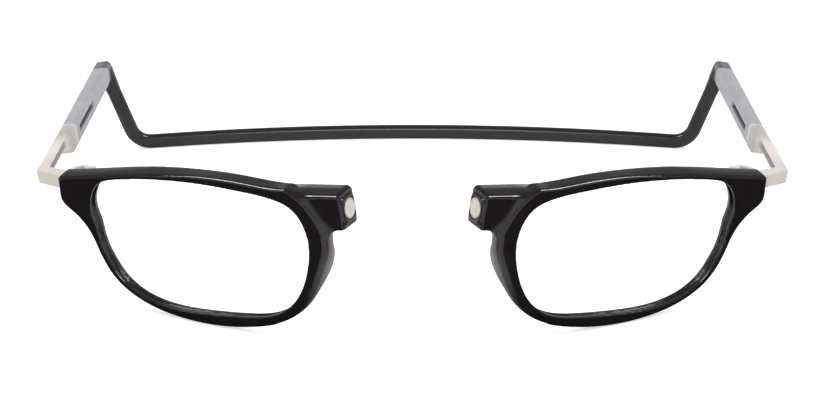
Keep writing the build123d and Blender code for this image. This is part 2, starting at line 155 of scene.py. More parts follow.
# Finishes
PLASTIC_CLOUDS = 300.0
METAL_STREAKS = (40.0, 900.0, 900.0)
LENS_SHINE = 0.35
MATT_SHEEN_TURN = (0.15, 0.55)  # how squarely a surface faces the nose where it is matt with a painted grey sheen
MATT_SHEEN_ZONE = {"X": (36.0 * MM, 44.0 * MM), "Y": (-5.6 * MM, -3.2 * MM),
              "Z": (21.3 * MM, 19.8 * MM)}
SHADE_DARKNESS = 0.65      # painted shade in the channel of the link's bar
SHADE_SIDE = (0.3 * MM, 0.8 * MM)
SHADE_START = (1.4 * MM, 2.6 * MM)
SHADE_END = (23.0 * MM, 20.0 * MM)
SHADE_EDGE = (1.0 * MM, 0.7 * MM)
LINK_COAT_START = -5.0 * MM
LINK_COAT_END = 35.0 * MM
LINK_COAT = [(0.05, (0.78, 0.74, 0.67)), (0.20, (0.76, 0.72, 0.69)), (0.45, (0.90, 0.82, 0.81)),
             (0.62, (0.84, 0.77, 0.74)), (0.78, (0.50, 0.475, 0.445)), (0.90, (0.52, 0.49, 0.46)),
             (0.95, (0.66, 0.62, 0.60))]

# Table and lamps, in metres
TABLE_HALF = 3.0
TABLE_DROP = 0.05 * MM
TABLE_WHITE = 0.85
TABLE_GLOW = 0.6
CARD_DARKNESS = 0.78       # of the dark parts of the table, beside a pale wedge in the middle
WEDGE_TIP = -0.06
WEDGE_SPREAD = 1.05
WEDGE_EDGE = (-0.006, 0.010)
CARD_BACK = (-0.020, -0.055)
SKY_RISE = (0.15, 0.46)
SKY_DIM = 0.28
LAMP_AIM = Vector((0.0, -0.03, 0.01))
KEY_LAMPS = (Vector((-0.62, -0.10, 0.78)), Vector((0.62, -0.10, 0.78)))
FRONT_LAMP = Vector((0.0, -0.75, 0.52))

roll_axes = Matrix.Translation(SCREW_FOOT) @ Matrix.Rotation(-SIDE_ROLL, 4, "Y")
front_axes = roll_axes @ Matrix.Rotation(-FRONT_SWING, 4, "Z")
arm_axes = (roll_axes @ Matrix.Translation(ARM_START) @ Matrix.Rotation(-ARM_PITCH, 4, "X")
            @ Matrix.Rotation(-ARM_TOE, 4, "Z"))


def new_material(name):
    """A node material with its tree emptied but for the output."""
    material = bpy.data.materials.new(name)
    material.use_nodes = True
    nodes = material.node_tree.nodes
    nodes.clear()
    output = nodes.new("ShaderNodeOutputMaterial")
    return material, nodes, material.node_tree.links, output


def math_node(nodes, links, operation, *values):
    """A calculation on sockets and numbers, as a new socket."""
    node = nodes.new("ShaderNodeMath")
    node.operation = operation
    for socket, value in zip(node.inputs, values):
        if isinstance(value, (int, float)):
            socket.default_value = value
        else:
            links.new(value, socket)
    return node.outputs["Value"]


def smooth_range(nodes, links, value, start, end, low=0.0, high=1.0):
    """Go smoothly from low to high as a socket's value goes from start to end."""
    node = nodes.new("ShaderNodeMapRange")
    node.interpolation_type = "SMOOTHSTEP"
    node.inputs["From Min"].default_value = start
    node.inputs["From Max"].default_value = end
    node.inputs["To Min"].default_value = low
    node.inputs["To Max"].default_value = high
    links.new(value, node.inputs["Value"])
    return node.outputs["Result"]


def left_place(nodes, links, axes):
    """The surface point in the left side's own axes, mirrored where it is on the right."""
    place = nodes.new("ShaderNodeTexCoord")
    whole = nodes.new("ShaderNodeSeparateXYZ")
    links.new(place.outputs["Object"], whole.inputs["Vector"])
    left_x = math_node(nodes, links, "MULTIPLY",
                       math_node(nodes, links, "ABSOLUTE", whole.outputs["X"]), -1.0)
    mirrored = nodes.new("ShaderNodeCombineXYZ")
    links.new(left_x, mirrored.inputs["X"])
    links.new(whole.outputs["Y"], mirrored.inputs["Y"])
    links.new(whole.outputs["Z"], mirrored.inputs["Z"])
    to_side = nodes.new("ShaderNodeMapping")
    inverse = axes.inverted()
    to_side.inputs["Location"].default_value = inverse.to_translation()
    to_side.inputs["Rotation"].default_value = inverse.to_euler()
    links.new(mirrored.outputs["Vector"], to_side.inputs["Vector"])
    local = nodes.new("ShaderNodeSeparateXYZ")
    links.new(to_side.outputs["Vector"], local.inputs["Vector"])
    return place, local


def noise(nodes, links, place, scale, detail=2.0):
    """Noise over a piece, in metres of its own place."""
    texture = nodes.new("ShaderNodeTexNoise")
    texture.inputs["Scale"].default_value = scale
    texture.inputs["Detail"].default_value = detail
    links.new(place, texture.inputs["Vector"])
    return texture.outputs["Fac"]


def two_tones(nodes, links, value, dark, light, spread=0.2):
    """A colour that goes from dark to light round the middle of a value's range."""
    ramp = nodes.new("ShaderNodeValToRGB")
    for element, position, colour in zip(ramp.color_ramp.elements, (0.5 - spread, 0.5 + spread),
                                         (dark, light)):
        element.position = position
        element.color = (*colour, 1.0)
    links.new(value, ramp.inputs["Fac"])
    return ramp.outputs["Color"]


def set_gloss(nodes, links, shader, value, start, end):
    """Let the roughness go from start to end as a value goes from 0 to 1."""
    gloss = nodes.new("ShaderNodeMapRange")
    gloss.inputs["To Min"].default_value = start
    gloss.inputs["To Max"].default_value = end
    links.new(value, gloss.inputs["Value"])
    links.new(gloss.outputs["Result"], shader.inputs["Roughness"])


def set_grain(nodes, links, shader, place, scale, strength, height):
    """Give the surface a fine unevenness."""
    bump = nodes.new("ShaderNodeBump")
    bump.inputs["Strength"].default_value = strength
    bump.inputs["Distance"].default_value = height
    links.new(noise(nodes, links, place, scale), bump.inputs["Height"])
    links.new(bump.outputs["Normal"], shader.inputs["Normal"])


def moulded_plastic(name, colour, roughness, grain_height, specular=0.4):
    """Moulded plastic: faint cloudy colour, fine unevenness in the gloss and in the surface."""
    material, nodes, links, output = new_material(name)
    shader = nodes.new("ShaderNodeBsdfPrincipled")
    place = nodes.new("ShaderNodeTexCoord").outputs["Object"]
    cloud = noise(nodes, links, place, PLASTIC_CLOUDS, 3.0)
    links.new(two_tones(nodes, links, cloud, [0.85 * c for c in colour],
                        [1.15 * c for c in colour]), shader.inputs["Base Color"])
    set_gloss(nodes, links, shader, cloud, 0.8 * roughness, 1.2 * roughness)
    set_grain(nodes, links, shader, place, 12.0 * PLASTIC_CLOUDS, 0.15, grain_height)
    shader.inputs["Specular IOR Level"].default_value = specular
    links.new(shader.outputs["BSDF"], output.inputs["Surface"])
    return material


def front_finish(name):
    """Polished black nylon whose side towards the nose is matt, with a painted grey sheen."""
    material = moulded_plastic(name, (0.0095, 0.0070, 0.0095), 0.08, 0.001 * MM, specular=0.5)
    nodes, links = material.node_tree.nodes, material.node_tree.links
    shader = next(node for node in nodes if node.type == "BSDF_PRINCIPLED")
    calculate = partial(math_node, nodes, links)
    fade = partial(smooth_range, nodes, links)
    place, local = left_place(nodes, links, front_axes)
    whole = nodes.new("ShaderNodeSeparateXYZ")
    links.new(place.outputs["Object"], whole.inputs["Vector"])
    facing = nodes.new("ShaderNodeSeparateXYZ")
    links.new(place.outputs["Normal"], facing.inputs["Vector"])
    # How far the surface faces the nose, the same on both sides
    to_nose = front_axes.to_3x3() @ Vector((1, 0, 0))
    sideways = calculate("MULTIPLY", facing.outputs["X"],
                         calculate("MULTIPLY", calculate("SIGN", whole.outputs["X"]), -to_nose.x))
    turned = calculate("ADD", sideways,
                       calculate("ADD", calculate("MULTIPLY", facing.outputs["Y"], to_nose.y),
                                 calculate("MULTIPLY", facing.outputs["Z"], to_nose.z)))
    # Matt there, with a painted grey sheen, near the nose, under the block and behind the rim's
    # front
    matt_and_painted_sheen = fade(turned, *MATT_SHEEN_TURN)
    for axis, zone in MATT_SHEEN_ZONE.items():
        matt_and_painted_sheen = calculate("MULTIPLY", matt_and_painted_sheen, fade(local.outputs[axis], *zone))
    # The grey base colour is a painted sheen on the black pad; the higher roughness makes it matt
    for socket, kind, value in (("Base Color", "RGBA", (0.21, 0.195, 0.215, 1.0)),
                                ("Roughness", "FLOAT", 0.42)):
        mix = nodes.new("ShaderNodeMix")
        mix.data_type = kind
        # The sockets are found by place, because each kind of value has its own A, B and Result
        first, second, result = (6, 7, 2) if kind == "RGBA" else (2, 3, 0)
        mix.inputs[second].default_value = value
        links.new(matt_and_painted_sheen, mix.inputs[0])
        links.new(shader.inputs[socket].links[0].from_socket, mix.inputs[first])
        links.new(mix.outputs[result], shader.inputs[socket])
    return material


def satin_metal(name, colour, roughness, metallic=1.0):
    """Metal with fine streaks along one direction."""
    material, nodes, links, output = new_material(name)
    shader = nodes.new("ShaderNodeBsdfPrincipled")
    shader.inputs["Metallic"].default_value = metallic
    stretch = nodes.new("ShaderNodeMapping")
    stretch.inputs["Scale"].default_value = METAL_STREAKS
    links.new(nodes.new("ShaderNodeTexCoord").outputs["Object"], stretch.inputs["Vector"])
    streaks = noise(nodes, links, stretch.outputs["Vector"], 1.0, 4.0)
    links.new(two_tones(nodes, links, streaks, [0.92 * c for c in colour],
                        [min(1.04 * c, 1.0) for c in colour], 0.15), shader.inputs["Base Color"])
    set_gloss(nodes, links, shader, streaks, 0.85 * roughness, 1.15 * roughness)
    links.new(shader.outputs["BSDF"], output.inputs["Surface"])
    return material


def sleeve_finish(name):
    """Satin silver-grey coat that ends in a rounded edge before the sleeve's black tip."""
    material, nodes, links, output = new_material(name)
    calculate = partial(math_node, nodes, links)
    shader = nodes.new("ShaderNodeBsdfPrincipled")
    place, local = left_place(nodes, links, arm_axes)
    # The coat reaches furthest back at the middle of the sleeve's height
    off_middle = calculate("SUBTRACT", local.outputs["Z"], COAT_MIDDLE)
    sag = calculate("MULTIPLY", calculate("MULTIPLY", off_middle, off_middle), COAT_SAG)
    past_edge = calculate("ADD", calculate("SUBTRACT", local.outputs["Y"], COAT_END), sag)
    black = smooth_range(nodes, links, past_edge, -COAT_EDGE, COAT_EDGE)
    cloud = noise(nodes, links, place.outputs["Object"], 160.0, 3.0)
    tint = nodes.new("ShaderNodeMix")
    tint.data_type = "RGBA"
    links.new(black, tint.inputs["Factor"])
    links.new(two_tones(nodes, links, cloud, (0.34, 0.325, 0.365), (0.41, 0.39, 0.435)),
              tint.inputs["A"])
    tint.inputs["B"].default_value = (0.012, 0.011, 0.011, 1.0)
    links.new(tint.outputs["Result"], shader.inputs["Base Color"])
    set_gloss(nodes, links, shader, black, 0.36, 0.26)
    set_grain(nodes, links, shader, place.outputs["Object"], 5000.0, 0.12, 0.02 * MM)
    links.new(shader.outputs["BSDF"], output.inputs["Surface"])
    return material


def link_finish(name):
    """Cast metal with a pearl coat: beige on the collar, paler on the bar, with painted shade in
    its channel.
    """
    material, nodes, links, output = new_material(name)
    calculate = partial(math_node, nodes, links)
    fade = partial(smooth_range, nodes, links)
    shader = nodes.new("ShaderNodeBsdfPrincipled")
    shader.inputs["Metallic"].default_value = 0.3
    place, local = left_place(nodes, links, arm_axes)
    along = nodes.new("ShaderNodeMapRange")
    along.inputs["From Min"].default_value = LINK_COAT_START
    along.inputs["From Max"].default_value = LINK_COAT_END
    links.new(local.outputs["Y"], along.inputs["Value"])
    coat = nodes.new("ShaderNodeValToRGB")
    while len(coat.color_ramp.elements) < len(LINK_COAT):
        coat.color_ramp.elements.new(0.5)
    for element, (position, colour) in zip(coat.color_ramp.elements, LINK_COAT):
        element.position = position
        element.color = (*colour, 1.0)
    links.new(along.outputs["Result"], coat.inputs["Fac"])
    cloud = noise(nodes, links, place.outputs["Object"], 240.0, 4.0)
    # Painted shade in the channel in the bar's inner side
    side = fade(local.outputs["X"], *SHADE_SIDE)
    start = fade(local.outputs["Y"], *SHADE_START)
    end = fade(local.outputs["Y"], *SHADE_END)
    off_middle = calculate("ABSOLUTE", calculate("SUBTRACT", local.outputs["Z"], CHANNEL_MIDDLE))
    inside = fade(off_middle, *SHADE_EDGE)
    channel = calculate("MULTIPLY", calculate("MULTIPLY", side, start),
                        calculate("MULTIPLY", end, inside))
    shade = calculate("SUBTRACT", 1.0, calculate("MULTIPLY", channel, SHADE_DARKNESS))
    tint = nodes.new("ShaderNodeVectorMath")
    tint.operation = "SCALE"
    links.new(coat.outputs["Color"], tint.inputs[0])
    links.new(calculate("MULTIPLY", shade, fade(cloud, 0.2, 0.8, 0.95, 1.05)), tint.inputs["Scale"])
    links.new(tint.outputs["Vector"], shader.inputs["Base Color"])
    links.new(fade(cloud, 0.2, 0.8, 0.30, 0.40), shader.inputs["Roughness"])
    set_grain(nodes, links, shader, place.outputs["Object"], 4000.0, 0.1, 0.02 * MM)
    links.new(shader.outputs["BSDF"], output.inputs["Surface"])
    return material


def clear_lens(name):
    """Clear polished plastic: see-through, with a faint reflection that grows at the edge."""
    material, nodes, links, output = new_material(name)
    calculate = partial(math_node, nodes, links)
    through = nodes.new("ShaderNodeBsdfTransparent")
    through.inputs["Color"].default_value = (0.985, 0.99, 0.995, 1.0)
    shine = nodes.new("ShaderNodeBsdfGlossy")
    shine.inputs["Roughness"].default_value = 0.02
    edge = nodes.new("ShaderNodeLayerWeight")
    edge.inputs["Blend"].default_value = 0.3
    steep = calculate("POWER", edge.outputs["Facing"], 3.0)
    back = nodes.new("ShaderNodeNewGeometry").outputs["Backfacing"]
    shown = calculate("MULTIPLY", calculate("MULTIPLY", steep, LENS_SHINE),
                      calculate("SUBTRACT", 1.0, back))
    # Only the camera sees the reflection
    to_camera = nodes.new("ShaderNodeLightPath").outputs["Is Camera Ray"]
    mix = nodes.new("ShaderNodeMixShader")
    links.new(calculate("MULTIPLY", shown, to_camera), mix.inputs["Fac"])
    links.new(through.outputs["BSDF"], mix.inputs[1])
    links.new(shine.outputs["BSDF"], mix.inputs[2])
    links.new(mix.outputs["Shader"], output.inputs["Surface"])
    return material


def give(obj, material):
    """Put one material on a piece."""
    obj.data.materials.clear()
    obj.data.materials.append(material)
    return obj


def white_table():
    """A white floor that keeps the soft shadow, seen as pure white where it is lit.

    To each side in front it is dark for all but the camera, as dark cards would make it, so
    that the glossy fronts stay black.
    """
    mesh = bpy.data.meshes.new("table")
    mesh.from_pydata([(-TABLE_HALF, -TABLE_HALF, 0), (TABLE_HALF, -TABLE_HALF, 0),
                      (TABLE_HALF, TABLE_HALF, 0), (-TABLE_HALF, TABLE_HALF, 0)], [],
                     [(0, 1, 2, 3)])
    table = bpy.data.objects.new("table", mesh)
    bpy.context.scene.collection.objects.link(table)
    table.location.z = -TABLE_DROP
    material, nodes, links, output = new_material("white_table")
    calculate = partial(math_node, nodes, links)
    fade = partial(smooth_range, nodes, links)
    lit = nodes.new("ShaderNodeBsdfDiffuse")
    floor = nodes.new("ShaderNodeSeparateXYZ")
    links.new(nodes.new("ShaderNodeTexCoord").outputs["Object"], floor.inputs["Vector"])
    to_camera = nodes.new("ShaderNodeLightPath").outputs["Is Camera Ray"]
    aside = calculate("ABSOLUTE", floor.outputs["X"])
    ahead = calculate("SUBTRACT", WEDGE_TIP, floor.outputs["Y"])
    beside = calculate("SUBTRACT", aside, calculate("MULTIPLY", ahead, WEDGE_SPREAD))
    card = calculate("MULTIPLY", fade(beside, *WEDGE_EDGE), fade(floor.outputs["Y"], *CARD_BACK))
    dark = calculate("MULTIPLY", card, calculate("SUBTRACT", 1.0, to_camera))
    links.new(calculate("SUBTRACT", TABLE_WHITE, calculate("MULTIPLY", dark, CARD_DARKNESS)),
              lit.inputs["Color"])
    glow = nodes.new("ShaderNodeEmission")
    links.new(calculate("MULTIPLY", to_camera, TABLE_GLOW), glow.inputs["Strength"])
    both = nodes.new("ShaderNodeAddShader")
    links.new(lit.outputs["BSDF"], both.inputs[0])
    links.new(glow.outputs["Emission"], both.inputs[1])
    links.new(both.outputs["Shader"], output.inputs["Surface"])
    give(table, material)


def studio_light():
    """A white surround for the camera, and for other rays one that dims above the horizon."""
    world = bpy.data.worlds.new("studio")
    bpy.context.scene.world = world
    world.use_nodes = True
    nodes, links = world.node_tree.nodes, world.node_tree.links
    nodes.clear()
    output = nodes.new("ShaderNodeOutputWorld")
    path = nodes.new("ShaderNodeLightPath")
    seen = math_node(nodes, links, "MAXIMUM", path.outputs["Is Camera Ray"],
                     path.outputs["Is Transmission Ray"])
    white = nodes.new("ShaderNodeBackground")
    soft = nodes.new("ShaderNodeBackground")
    for background in (white, soft):
        background.inputs["Color"].default_value = (1.0, 1.0, 1.0, 1.0)
    white.inputs["Strength"].default_value = 1.0
    direction = nodes.new("ShaderNodeSeparateXYZ")
    links.new(nodes.new("ShaderNodeTexCoord").outputs["Generated"], direction.inputs["Vector"])
    links.new(smooth_range(nodes, links, direction.outputs["Z"], *SKY_RISE, 1.0, SKY_DIM),
              soft.inputs["Strength"])
    mix = nodes.new("ShaderNodeMixShader")
    links.new(seen, mix.inputs["Fac"])
    links.new(soft.outputs["Background"], mix.inputs[1])
    links.new(white.outputs["Background"], mix.inputs[2])
    links.new(mix.outputs["Shader"], output.inputs["Surface"])


def soft_box(name, place, size, power):
    """One square lamp aimed at the glasses."""
    lamp = bpy.data.lights.new(name, "AREA")
    lamp.size = size
    lamp.energy = power
    obj = bpy.data.objects.new(name, lamp)
    bpy.context.scene.collection.objects.link(obj)
    obj.location = place
    obj.rotation_euler = (LAMP_AIM - place).to_track_quat("-Z", "Y").to_euler()


def photo_camera():
    """The camera at the photograph's angle, distance and framing."""
    data = bpy.data.cameras.new("camera")
    data.sensor_fit = "HORIZONTAL"
    data.sensor_width = SENSOR_WIDTH_MM
    data.lens = FOCAL_PX / PHOTO_WIDTH_PX * SENSOR_WIDTH_MM
    data.shift_x = MIDDLE_LEFT_OF_FRAME_PX / PHOTO_WIDTH_PX
    data.clip_start = 0.01
    camera = bpy.data.objects.new("camera", data)
    bpy.context.scene.collection.objects.link(camera)
    look = Vector((0.0, math.cos(VIEW_DOWN), -math.sin(VIEW_DOWN)))
    camera.location = VIEW_TARGET - look * VIEW_DISTANCE
    camera.rotation_euler = look.to_track_quat("-Z", "Y").to_euler()
    bpy.context.scene.camera = camera


def add_piece(name, mesh, material, body=None):
    """Link a finished mesh as a piece, with its finish, and let it ride on a body."""
    mesh.set_sharp_from_angle(angle=math.radians(40.0))
    mesh.polygons.foreach_set("use_smooth", [True] * len(mesh.polygons))
    piece = bpy.data.objects.new(name, mesh)
    bpy.context.scene.collection.objects.link(piece)
    give(piece, material)
    if body:
        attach(piece, body)
    return piece


def on_side(mesh, axes, side):
    """A mesh made in the left side's own axes, set in place on either side."""
    placed = mesh.copy()
    placed.transform(axes if side == "left" else MIRROR @ axes)
    if side == "right":
        placed.flip_normals()
    return placed


def ring_mesh(name, rings):
    """A closed skin over rings of points with as many points each."""
    count = len(rings[0])
    points = [point for ring in rings for point in ring]
    faces = []
    for row in range(len(rings) - 1):
        for i in range(count):
            j = (i + 1) % count
            faces.append((row * count + i, row * count + j, (row + 1) * count + j,
                          (row + 1) * count + i))
    faces.append(tuple(reversed(range(count))))
    faces.append(tuple((len(rings) - 1) * count + i for i in range(count)))
    mesh = bpy.data.meshes.new(name)
    mesh.from_pydata([tuple(point) for point in points], [], faces)
    skin = bmesh.new()
    skin.from_mesh(mesh)
    bmesh.ops.recalc_face_normals(skin, faces=skin.faces)
    skin.to_mesh(mesh)
    skin.free()
    return mesh


def rounded_rectangle(width, height, rounding, steps=6):
    """Points of a rounded rectangle about the origin."""
    points = []
    for quarter in range(4):
        across = 1 if quarter in (0, 3) else -1
        upward = 1 if quarter in (0, 1) else -1
        for step in range(steps + 1):
            angle = (quarter + step / steps) * math.pi / 2
            points.append((across * (width / 2 - rounding) + rounding * math.cos(angle),
                           upward * (height / 2 - rounding) + rounding * math.sin(angle)))
    return points


def rounded_route(corners, radii, steps=10):
    """Points along straight runs with an arc at each inner corner."""
    points = [corners[0]]
    for before, corner, after, radius in zip(corners, corners[1:], corners[2:], radii):
        arrive = (corner - before).normalized()
        leave = (after - corner).normalized()
        turn = arrive.angle(leave)
        set_back = radius * math.tan(turn / 2)
        inward = (leave - arrive).normalized()
        centre = corner + inward * radius / math.cos(turn / 2)
        start = corner - arrive * set_back - centre
        axis = arrive.cross(leave).normalized()
        for step in range(steps + 1):
            points.append(centre + Matrix.Rotation(turn * step / steps, 3, axis) @ start)
    return points + [corners[-1]]


def fused_copy(node, axes, voxel, passes, extras=(), foot=None):
    """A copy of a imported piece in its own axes, fused with extra forms, its edges softened.

    With a foot height given, what lies below it is cut away first.
    """
    skin = bmesh.new()
    skin.from_mesh(nodes[node].data)
    skin.transform(axes.inverted())
    bmesh.ops.remove_doubles(skin, verts=skin.verts, dist=0.001 * MM)
    if foot is not None:
        cut = bmesh.ops.bisect_plane(skin, geom=skin.verts[:] + skin.edges[:] + skin.faces[:],
                                     plane_co=(0, 0, foot), plane_no=(0, 0, -1), clear_outer=True)
        rim = [part for part in cut["geom_cut"] if isinstance(part, bmesh.types.BMEdge)]
        bmesh.ops.holes_fill(skin, edges=rim)
    for extra in extras:
        skin.from_mesh(extra)
    # The remesh works in millimetres, because its smallest voxel is fixed
    skin.transform(Matrix.Scale(1 / MM, 4))
    rough = bpy.data.meshes.new(node + "_rough")
    skin.to_mesh(rough)
    skin.free()
    work = bpy.data.objects.new(node + "_rough", rough)
    bpy.context.scene.collection.objects.link(work)
    fuse = work.modifiers.new("fuse", "REMESH")
    fuse.mode = "VOXEL"
    fuse.voxel_size = voxel / MM
    soften = work.modifiers.new("soften", "SMOOTH")
    soften.factor = 0.5
    soften.iterations = passes
    graph = bpy.context.evaluated_depsgraph_get()
    fused = bpy.data.meshes.new_from_object(work.evaluated_get(graph))
    fused.transform(Matrix.Scale(MM, 4))
    bpy.data.objects.remove(work)
    return fused


def flatten(mesh):
    """Smooth away the steps that the remesh leaves on its surfaces, and keep the edges."""
    averaging_passes = 6
    smoothing_passes = 30
    edge_turn = math.radians(5.0)
    count = len(mesh.vertices)
    places = numpy.empty(count * 3)
    mesh.vertices.foreach_get("co", places)
    places = places.reshape(count, 3)
    leaning = numpy.empty(count * 3)
    mesh.vertex_normals.foreach_get("vector", leaning)
    leaning = leaning.reshape(count, 3)
    pairs = numpy.empty(len(mesh.edges) * 2, dtype=numpy.int64)
    mesh.edges.foreach_get("vertices", pairs)
    first, second = pairs.reshape(-1, 2).T
    neighbours = numpy.bincount(pairs, minlength=count)[:, None]

    def around(values):
        total = numpy.empty_like(values)
        for axis in range(3):
            total[:, axis] = (numpy.bincount(first, values[second, axis], count)
                              + numpy.bincount(second, values[first, axis], count))
        return total / neighbours

    # An edge is where the normals still turn quickly once they are averaged over the steps
    for _ in range(averaging_passes):
        leaning = 0.5 * (leaning + around(leaning))
        leaning /= numpy.linalg.norm(leaning, axis=1)[:, None]
    turns = (leaning[first] * leaning[second]).sum(axis=1) < math.cos(edge_turn)
    free = numpy.ones((count, 1))
    free[first[turns]] = 0
    free[second[turns]] = 0
    for _ in range(smoothing_passes):
        places += 0.5 * free * (around(places) - places)
    mesh.vertices.foreach_set("co", places.ravel())
    mesh.update()
    return mesh


def reshape(mesh, move):
    """Move every point of a mesh to where a function of its place and normal puts it."""
    normals = [vertex.normal.copy() for vertex in mesh.vertices]
    for vertex, normal in zip(mesh.vertices, normals):
        vertex.co = move(vertex.co.copy(), normal)
    mesh.update()
    return mesh


def ease(value, start, end):
    """Rise smoothly from 0 to 1 as a value goes from start to end."""
    share = min(max((value - start) / (end - start), 0.0), 1.0)
    return share * share * (3 - 2 * share)


def crease_x(height):
    """Where the rim's nose edge runs at a height, in the front's axes."""
    total = 0.0
    for x, z in NOSE_EDGE:
        share = 1.0
        for _, other in NOSE_EDGE:
            if other != z:
                share *= (height - other) / (z - other)
        total += x * share
    return total


def bridge_block():
    """The block's outside, dished towards the rim's crease and filleted under it."""
    rings = []
    for step in range(BLOCK_STEPS + 1):
        ring = []
        for y, z in rounded_rectangle(BLOCK_BACK - BLOCK_FRONT, BLOCK_HEAD - BLOCK_FOOT,
                                      BLOCK_ROUND):
            y += (BLOCK_FRONT + BLOCK_BACK) / 2
            z += (BLOCK_FOOT + BLOCK_HEAD) / 2
            crease = crease_x(z)
            start = crease - BLOCK_IN_RIM
            x = start + (BLOCK_END - start) * step / BLOCK_STEPS
            from_crease = max(x - crease, 0.0) / DISH_REACH
            dish = DISH_RISE * (1 - min(from_crease, 1.0)) ** 2.4
            y -= dish * ease(y, *DISH_DEPTH)
            z += LIP_RISE * ease(x, *LIP_RUN) * ease(y, *LIP_DEPTH) * ease(z, *LIP_HEIGHT)
            under = min(max((FILLET_END - x) / FILLET_RUN, 0.0), 1.0)
            z -= FILLET_RISE * under ** 2.2 * ease(z, *FILLET_HEIGHT)
            ring.append(Vector((x, y, z)))
        rings.append(ring)
    return ring_mesh("block", rings)


def soften_nose_side(mesh, outline):
    """Make one soft surface of the side towards the nose, from the rim's front to the pad."""
    skin = bmesh.new()
    skin.from_mesh(mesh)
    soft = []
    for vertex in skin.verts:
        x, y, z = vertex.co
        if x > NOSE_SIDE_START and NOSE_SIDE_FOOT < z < NOSE_SIDE_HEAD and y < NOSE_SIDE_BACK:
            away = outline.find((x, 0, z))[2]
            if away < (0.9 if y < RIM_BACK else 1.6) * MM and vertex.normal.x > -0.2:
                soft.append(vertex)
    for _ in range(NOSE_SIDE_PASSES):
        bmesh.ops.smooth_vert(skin, verts=soft, factor=0.5, use_axis_x=True, use_axis_y=True,
                              use_axis_z=True)
    skin.to_mesh(mesh)
    skin.free()


def shaped_front(mesh):
    """Slope the rim's outside towards its front edge, round the block and fill the nose side."""
    outside = [(vertex.co.copy(), vertex.normal.copy()) for vertex in mesh.vertices
               if abs(vertex.normal.y) < 0.25 and RIM_SIDE[0] < vertex.co.y < RIM_SIDE[1]
               and (vertex.co.x - RIM_CENTRE.x) * vertex.normal.x
               + (vertex.co.z - RIM_CENTRE.z) * vertex.normal.z > 0]
    outline = KDTree(len(outside))
    for index, (spot, _) in enumerate(outside):
        outline.insert((spot.x, 0, spot.z), index)
    outline.balance()

    def move(place, normal):
        near = outline.find_n((place.x, 0, place.z), 6)
        away = min(distance for _, _, distance in near)
        outward = Vector((0, 0, 0))
        for _, index, _ in near:
            outward += outside[index][1]
        outward.y = 0
        outward.normalize()
        forward = min(max((RIM_BACK - place.y) / (RIM_BACK - RIM_FRONT), 0.0), 1.0)
        # The slope fades towards the nose, where the front edge is crisp
        share = (1 - 0.85 * ease(place.x, *SLOPE_FADE)) * ease(place.x, *SLOPE_END)
        drop = (RIM_SLOPE + RIM_TOP_SLOPE * max(outward.z, 0.0)) * forward ** 1.6
        place -= outward * drop * share * ease(away, SLOPE_REACH, 0.0)
        # The block's top slopes down to its front edge, and its end is rounded
        on_block = ease(place.x, *TOP_SLOPE_RUN) * ease(place.z, *TOP_SLOPE_HEIGHT)
        place.z -= TOP_SLOPE * on_block * ease(place.y, *TOP_SLOPE_DEPTH)
        near_end = END_ROUND * ease(place.x, *END_RUN) ** 2
        for height, inward in ((BLOCK_HEAD, -1), (BLOCK_FOOT, 1)):
            place.z += inward * near_end * ease(abs(place.z - height), EDGE_REACH, 0.0)
        place.y -= near_end * ease(abs(place.y - BLOCK_BACK), EDGE_REACH, 0.0)
        # The side towards the nose swells behind the rim's front
        swell = NOSE_SWELL * ease(place.z, *SWELL_FOOT) * ease(place.z, *SWELL_HEAD)
        swell *= ease(place.x, *SWELL_RUN) * ease(normal.x, *SWELL_TURN)
        place.x += swell * ease(place.y, *SWELL_DEPTH)
        return place

    soften_nose_side(mesh, outline)
    return reshape(mesh, move)


def channelled_bar(place, normal):
    """Sink a shallow channel into the inner side of the link's bar."""
    if normal.x > 0.5 and place.x < BAR_INSIDE:
        share = ease(place.y, *CHANNEL_START) * ease(place.y, *CHANNEL_END)
        place.x -= CHANNEL_DEPTH * share * ease(abs(place.z - CHANNEL_MIDDLE), *CHANNEL_EDGE)
    return place


def hinge_cap():
    """A thin pale plate on the upper lug, open over the screw's head."""
    angles = [2 * math.pi * step / CAP_POINTS for step in range(CAP_POINTS)]
    outer = []
    for angle in angles:
        across, back = math.cos(angle), math.sin(angle)
        to_side = (CAP_INWARD if across > 0 else -CAP_OUTWARD) / across if across else math.inf
        to_end = (CAP_BACK if back > 0 else -CAP_FRONT) / back if back else math.inf
        outer.append(max(CAP_RADIUS, min(to_side, to_end)))
    # Each ring's inset from the outline, or none at the hole, and its height above the lug
    layers = [(0.0, CAP_SUNK), (0.0, CAP_SHOULDER), (CAP_BEVEL, CAP_TOP), (None, CAP_TOP),
              (None, CAP_SUNK)]
    points = []
    for inset, rise in layers:
        for angle, reach in zip(angles, outer):
            radius = CAP_HOLE if inset is None else reach - inset
            points.append((radius * math.cos(angle), radius * math.sin(angle), LUG_HEAD + rise))
    faces = []
    for row in range(len(layers)):
        above = (row + 1) % len(layers)
        for i in range(CAP_POINTS):
            j = (i + 1) % CAP_POINTS
            faces.append((row * CAP_POINTS + i, row * CAP_POINTS + j, above * CAP_POINTS + j,
                          above * CAP_POINTS + i))
    mesh = bpy.data.meshes.new("hinge_cap")
    mesh.from_pydata(points, [], faces)
    return mesh


def rear_point(half):
    """A point of the band's rear arc at a distance left of the middle, and the arc's direction."""
    turn = math.asin(half / REAR_RADIUS)
    place = Vector((-half, REAR_LINE - REAR_RADIUS * (1 - math.cos(turn)), BAND_MIDDLE))
    return place, Vector((-math.cos(turn), -math.sin(turn), 0))


def band_ends():
    """Where the band's rear arc ends, where it turns upwards and where it enters the sleeve."""
    arc_end, direction = rear_point(REAR_ARC_HALF)
    corner = arc_end + direction * (CORNER_RUN / abs(direction.x))
    return arc_end, corner, arm_axes @ SLEEVE_BEND


